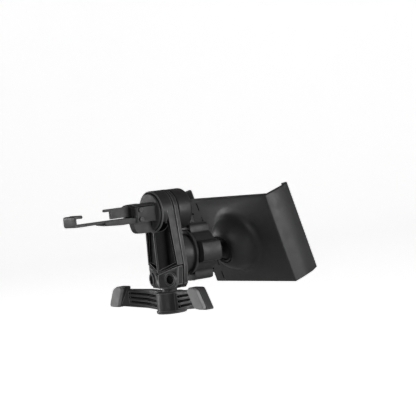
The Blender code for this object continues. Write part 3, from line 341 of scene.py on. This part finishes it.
def plated(name, dark, light, roughness, stretch):
    """Zinc plated steel: drawn lines along one way and a mottled gloss."""
    finish, shader = shader_of(name, roughness, 1.0)
    tree = finish.node_tree
    mottle(tree, shader, noise_on(tree, 300.0, 5.0), dark, light)
    wear = noise_on(tree, 800.0, 4.0)
    tree.links.new(spread(tree, wear, roughness - 0.08, roughness + 0.1), shader.inputs["Roughness"])
    tree.links.new(bump_of(tree, noise_on(tree, 2500.0, 2.0, stretch), 0.00001, 0.3), shader.inputs["Normal"])
    return finish


def paint_pocket_shading(finish):
    """Paints light and shade on the pocket's plastic: its colour fades to near black away from the rib."""
    rib_face, darkest_from, darkest_share = 0.0009, 0.0038, 0.02
    tree = finish.node_tree
    colour = tree.nodes["Principled BSDF"].inputs["Base Color"]
    plain = colour.links[0].from_socket
    coords = tree.nodes.new("ShaderNodeTexCoord")
    parts = tree.nodes.new("ShaderNodeSeparateXYZ")
    tree.links.new(coords.outputs["Object"], parts.inputs["Vector"])
    across = maths(tree, "ABSOLUTE", parts.outputs["X"])
    share = spread(tree, across, 1.0, darkest_share, rib_face, darkest_from)
    tree.links.new(blend_colours(tree, share, (0.0, 0.0, 0.0), plain), colour)


# Moulded finishes: darkest and lightest colour, roughness, grain's scale, grain's depth and sheen
MOULDED = {
    "body_black": ((0.027, 0.027, 0.028), (0.036, 0.036, 0.037), 0.46, 3800.0, 0.00003, 0.32),
    "cradle_black": ((0.034, 0.034, 0.035), (0.042, 0.042, 0.043), 0.44, 3200.0, 0.00002, 0.36),
    "clip_black": ((0.043, 0.043, 0.044), (0.055, 0.055, 0.056), 0.50, 3800.0, 0.00003, 0.28),
    "brace_black": ((0.048, 0.048, 0.049), (0.060, 0.060, 0.061), 0.46, 3800.0, 0.00003, 0.32),
    "knob_black": ((0.027, 0.027, 0.028), (0.036, 0.036, 0.037), 0.44, 4600.0, 0.00002, 0.32),
    "ball_black": ((0.018, 0.018, 0.019), (0.023, 0.023, 0.024), 0.50, 6000.0, 0.00001, 0.25),
    # Lighter finishes for the rounded edges: painted highlight
    "edge_highlight_black": ((0.140, 0.140, 0.142), (0.180, 0.180, 0.182), 0.38, 3800.0, 0.00001, 0.45),
    "edge_highlight_clip": ((0.105, 0.105, 0.107), (0.135, 0.135, 0.137), 0.40, 3800.0, 0.00001, 0.4),
    # Painted light and shade for the leg's pockets: lighter than the body near the rib, faded to near black
    # away from it
    "pocket_painted_shading": ((0.055, 0.055, 0.056), (0.065, 0.065, 0.066), 0.55, 3800.0, 0.00003, 0.1),
    # Painted shade, near black, for the cradle's slots and holes and the brace's grooves
    "slot_painted_shade": ((0.003, 0.003, 0.003), (0.005, 0.005, 0.005), 0.65, 3800.0, 0.00002, 0.05),
    "groove_painted_shade": ((0.008, 0.008, 0.008), (0.012, 0.012, 0.012), 0.60, 3800.0, 0.00002, 0.1),
}
plastic = {name: moulded(name, *settings) for name, settings in MOULDED.items()}
paint_pocket_shading(plastic["pocket_painted_shading"])
body_black, cradle_black, clip_black = plastic["body_black"], plastic["cradle_black"], plastic["clip_black"]
brace_black, knob_black, ball_black = plastic["brace_black"], plastic["knob_black"], plastic["ball_black"]
soft_black = rubbery("soft_black", (0.028, 0.028, 0.029), (0.042, 0.042, 0.043))
pad_grey = rubbery("pad_grey", (0.36, 0.36, 0.36), (0.44, 0.44, 0.44))
screw_steel = plated("screw_steel", (0.45, 0.46, 0.48), (0.62, 0.63, 0.65), 0.34, (1.0, 8.0, 1.0))
screw_dark = plated("screw_dark", (0.020, 0.020, 0.021), (0.040, 0.040, 0.042), 0.45, (1.0, 8.0, 1.0))
spring_steel = plated("spring_steel", (0.50, 0.50, 0.51), (0.66, 0.66, 0.67), 0.28, (6.0, 1.0, 1.0))

# The painted shade of a node's recesses, with the test that finds them, and the lighter finish painted on
# rounded edges as highlight
RECESS_SHADES = {
    "brace": (in_groove, plastic["groove_painted_shade"]),
    "leg_housing": (in_pocket, plastic["pocket_painted_shading"]),
    "cradle_body": (in_slot, plastic["slot_painted_shade"]),
}
# Each finish's lighter edge colour, a painted highlight on its rounded edges
EDGE_HIGHLIGHT_OF = {
    "body_black": plastic["edge_highlight_black"], "cradle_black": plastic["edge_highlight_black"],
    "brace_black": plastic["edge_highlight_black"], "clip_black": plastic["edge_highlight_clip"],
}

# The finish and the edge radius of each copied solid, and the finish of the solids that stay
FINISHES = {
    "clip_rotor": (clip_black, 0.00016), "fixed_jaw": (clip_black, 0.00016), "hook": (clip_black, 0.00035),
    "leg_housing": (body_black, 0.00018), "face_plate": (body_black, 0.00022),
    "chevron_cover": (body_black, 0.00022), "brace": (brace_black, 0.00014),
    "cradle_body": (cradle_black, 0.0003), "slide_jaw": (cradle_black, 0.0003),
    "cradle_cover": (cradle_black, 0.0001), "back_pad": (soft_black, 0.00015),
    "jaw_pad_left": (soft_black, 0.00012), "jaw_pad_right": (soft_black, 0.00012),
    "cover_screw_left": (screw_dark, 0.00005), "cover_screw_right": (screw_dark, 0.00005),
    "jaw_pin_upper": (clip_black, 0.0001), "jaw_pin_lower_left": (clip_black, 0.0001),
    "jaw_pin_lower_right": (clip_black, 0.0001), "retaining_ring": (screw_steel, 0.0),
    "cradle_screw_1": (screw_dark, 0.0001), "cradle_screw_2": (screw_dark, 0.0001),
    "cradle_screw_3": (screw_dark, 0.0001), "cradle_screw_4": (screw_dark, 0.0001),
}
KEPT = {
    "socket_liner": soft_black, "spring_upper": spring_steel, "spring_lower": spring_steel,
    "draw_screw": screw_steel, "brace_pin": screw_steel,
}
for node, (finish, radius) in FINISHES.items():
    fine_copy(node, BODY_OF[node], finish, SLOT_OF[node], radius)
for node, finish in KEPT.items():
    frame["nodes"][node].data.materials.clear()
    frame["nodes"][node].data.materials.append(finish)


# Pieces drawn again. The profiles of the turned ones are in (radius, along Y) from a point on the axis.


def turned_skin(node, body, finish, profile, axis_point, around, closed, ring=None, sharp=32.0):
    """A turned surface in place of a node's solid. A closed profile makes a tube."""
    points = turned_points(profile, around, axis_point, ring)
    mesh = solid_mesh(f"{node}_skin", points, grid_faces(len(profile), around, closed), sharp)
    place(f"{node}_skin", mesh, body, finish, "black_abs", node)


def make_knob():
    """The knob is a turned shell with a rounded rear edge, a shallow dish behind and a bore in front."""
    rim, front, rear = 0.0083, -0.0086, -0.0155
    bore, bore_end = 0.0069, front - 0.0022
    dish_edge, dish, dish_floor = 0.0056, 0.0052, rear + 0.0006
    profile = filleted([(0.0, bore_end), (bore, bore_end), (bore, front), (rim, front), (rim, rear),
                        (dish_edge, rear), (dish, dish_floor), (0.0, dish_floor)],
                       [0.0002, 0.0002, 0.0004, 0.0016, 0.0003, 0.0003])
    turned_skin("tension_knob", "knob", knob_black, profile, DRUM, 160, False)


def make_collar():
    """The collar is a turned tube with a flange, and its thread runs back inside the nut."""
    bore, neck, barrel, flange, thread = 0.00375, 0.0040, 0.0079, 0.0093, 0.0062
    front, shoulder, flange_front, flange_rear, rear = -0.0063, -0.0086, -0.0142, -0.0155, -0.0233
    profile = filleted([(bore, front), (neck, front), (neck, shoulder), (barrel, shoulder),
                        (barrel, flange_front), (flange, flange_front), (flange, flange_rear),
                        (thread, flange_rear), (thread, rear), (bore, rear)],
                       [0.0001, 0.0001, 0.0002, 0.0003, 0.0003, 0.0003, 0.0001, 0.0003])
    turned_skin("swivel_collar", "leg", brace_black, profile, SWIVEL, 128, True)


def lobes(angle):
    """How far the nut's outline stands beyond its valleys: four broad lobes with soft flanks."""
    count, height, shift, flank = 4, 0.0029, 0.55, 0.9
    share = np.clip((np.cos(count * angle) + shift) / flank, 0.0, 1.0)
    return height * share * share * (3 - 2 * share)


def make_nut():
    """The nut's profile carried round the axis, with the lobes added on its outer side."""
    thread, valley, mouth = 0.00655, 0.0089, 0.0046
    front, rear, lip = -0.01585, -0.02485, 0.0012
    profile = filleted([(thread, front, 0), (valley, front, 1), (valley, rear, 1), (mouth, rear, 0),
                        (mouth, rear + lip, 0), (thread, rear + lip, 0)],
                       [0.0010, 0.0010, 0.0002, 0.0002])
    turned_skin("lock_nut", "nut", knob_black, profile, SWIVEL, 240, True, lobes, 40.0)


def make_stem():
    """A head, a straight shank, a waist and a ball, all turned on one axis."""
    head, shank, waist, ball = 0.0052, 0.0034, 0.0023, 0.0061
    head_front, head_rear, shank_end, waist_start = -0.00505, -0.00595, -0.02525, -0.02705
    inside_ball = -0.0320
    path = filleted([(0.0, head_front), (head, head_front), (head, head_rear), (shank, head_rear),
                     (shank, shank_end), (waist, waist_start), (waist, inside_ball)],
                    [0.0003, 0.0001, 0.0001, 0.0006, 0.0008])
    first = 90 - math.degrees(math.asin(waist / ball))
    globe = arc_of((0.0, BALL_ALONG), ball, first, -90, 40)
    profile = np.concatenate([path[:-1], globe])
    # The ball closes exactly on the axis
    profile[-1, 0] = 0.0
    turned_skin("ball_stem", "stem", ball_black, profile, SWIVEL, 96, False)


def make_pad(side, tag):
    """A rubber pad with round corners and a slightly crowned face, on the front of a foot."""
    half_height, half_width, corner_radius = 0.0040, 0.0032, 0.0020
    lean, rear, front = math.tan(math.radians(29)), 0.0014, 0.0030
    foot_across, foot_height = 0.0283, -0.0344
    # The outline starts and ends in the middle of its lower side
    outline = ((0, -half_height), (half_width, -half_height), (half_width, half_height),
               (-half_width, half_height), (-half_width, -half_height), (0, -half_height))
    corners = [(side * (foot_across - lean * z) + x, foot_height + z) for x, z in outline]
    ring = filleted(corners, [corner_radius] * 4, 7)[:-1]
    middle = np.array([side * foot_across, foot_height])
    # Each row is the outline drawn in to a share of its size, at a place along Y
    rows = [(0.0, rear), (1.0, rear), (1.0, front - 0.0004), (0.985, front - 0.0002), (0.95, front - 0.00005),
            (0.88, front), (0.5, front + 0.00008), (0.0, front + 0.0001)]
    points = []
    for share, along in rows:
        spot = middle + (ring - middle) * share
        points.append(np.column_stack([spot[:, 0], np.full(len(ring), along), spot[:, 1]]))
    points = np.concatenate(points) + DRUM
    node = f"foot_pad_{tag}"
    mesh = solid_mesh(f"{node}_skin", points, grid_faces(len(rows), len(ring), False), 50.0)
    place(f"{node}_skin", mesh, "brace", pad_grey, SLOT_OF[node], node)


make_pad(-1, "right")
make_pad(1, "left")
make_knob()
make_collar()
make_nut()
make_stem()


# Room and light

BACKDROP_GLOW = 0.85
REFLECTED_SHARE = 0.05
ROOM_LIGHT = 0.04

# Each lamp's place, size and power. All of them look at one point near the part's middle.
LAMP_TARGET = (0, -0.03, -0.02)
LAMPS = {
    "lamp_right": ((-0.80, -0.40, -0.01), (0.5, 0.5), 7.0),
    "lamp_front": ((-0.30, 0.85, 0.04), (0.4, 0.5), 2.0),
    "lamp_left": ((0.75, 0.36, 0.0), (0.35, 0.6), 3.9),
}

# The camera as solved from the photograph: lens and sensor in mm, turn in radians
LENS, SENSOR = 124.56, 36.0
CAMERA_PLACE, CAMERA_TURN = (-0.47925, 0.30406, 0.01861), (1.53525, 0.11227, -2.20836)


def seen_directly(tree, as_light, seen):
    """One value where the camera or a clear piece looks at it, less of it in a reflection.

    as_light is the value for all other rays, which is what it gives as light.
    """
    path = tree.nodes.new("ShaderNodeLightPath")
    mirrored = maths(tree, "MULTIPLY", path.outputs["Is Glossy Ray"], REFLECTED_SHARE)
    looked_at = maths(tree, "MAXIMUM", path.outputs["Is Camera Ray"], path.outputs["Is Transmission Ray"])
    return spread(tree, maths(tree, "MAXIMUM", looked_at, mirrored), as_light, seen, 0.0, 1.0)


def make_room():
    """A pale floor that bends up into a wall, both white to the camera and faint in reflections."""
    floor_level, half_width = -0.090, 2.4
    near, flat_half, bend, wall_top = -1.6, 1.2, 0.5, 2.4
    flat_rows, bend_rows, columns = 7, 24, 9
    t = np.linspace(0, np.pi / 2, bend_rows)
    flat = np.linspace(-flat_half, flat_half, flat_rows)
    run = np.concatenate([[near], flat, flat_half + bend * np.sin(t), [flat_half + bend]])
    rise = np.concatenate([np.zeros(1 + flat_rows), bend * (1 - np.cos(t)), [wall_top]])
    across = np.linspace(-half_width, half_width, columns)
    # Level directions, away from the camera and to its right
    away, right = np.array([0.80541, -0.59166]), np.array([-0.59149, -0.79849])
    r, a = np.meshgrid(np.arange(len(run)), across, indexing="ij")
    ground = run[r][..., None] * away + a[..., None] * right
    points = np.concatenate([ground, (rise[r] + floor_level)[..., None]], axis=-1).reshape(-1, 3)
    mesh = bpy.data.meshes.new("floor")
    mesh.from_pydata(points.tolist(), [], grid_faces(len(run), len(across), False, False).tolist())
    mesh.shade_smooth()
    floor = bpy.data.objects.new("floor", mesh)
    bpy.context.scene.collection.objects.link(floor)
    finish, shader = shader_of("floor_paper", 0.9)
    shader.inputs["Base Color"].default_value = (0.92, 0.92, 0.92, 1.0)
    tree = finish.node_tree
    glow = tree.nodes.new("ShaderNodeEmission")
    both = tree.nodes.new("ShaderNodeAddShader")
    out = next(n for n in tree.nodes if n.type == "OUTPUT_MATERIAL")
    tree.links.new(seen_directly(tree, 0.0, BACKDROP_GLOW), glow.inputs["Strength"])
    tree.links.new(shader.outputs[0], both.inputs[0])
    tree.links.new(glow.outputs[0], both.inputs[1])
    tree.links.new(both.outputs[0], out.inputs["Surface"])
    mesh.materials.append(finish)


def make_sky():
    """A dim even room that lights from all round, and white where the camera looks past the wall."""
    world = bpy.data.worlds.new("room")
    world.use_nodes = True
    bpy.context.scene.world = world
    tree = world.node_tree
    background = tree.nodes["Background"]
    tree.links.new(seen_directly(tree, ROOM_LIGHT, 1.0), background.inputs["Strength"])
    background.inputs["Color"].default_value = (1.0, 1.0, 1.0, 1.0)


def add_lamp(name, location, size, power):
    """A rectangular lamp that looks at the part."""
    lamp = bpy.data.lights.new(name, "AREA")
    lamp.shape = "RECTANGLE"
    lamp.size, lamp.size_y = size
    lamp.energy = power
    holder = bpy.data.objects.new(name, lamp)
    bpy.context.scene.collection.objects.link(holder)
    holder.location = location
    holder.rotation_euler = (Vector(LAMP_TARGET) - Vector(location)).to_track_quat("-Z", "Y").to_euler()


def make_camera():
    """The photograph's camera: slightly above the part, from its right front, with a long lens."""
    camera = bpy.data.cameras.new("camera")
    camera.lens = LENS
    camera.sensor_width = SENSOR
    camera.clip_start = 0.01
    holder = bpy.data.objects.new("camera", camera)
    bpy.context.scene.collection.objects.link(holder)
    holder.location = CAMERA_PLACE
    holder.rotation_euler = CAMERA_TURN
    bpy.context.scene.camera = holder


make_room()
make_sky()
for name, (location, size, power) in LAMPS.items():
    add_lamp(name, location, size, power)
make_camera()
bpy.context.scene.view_settings.view_transform = "Standard"
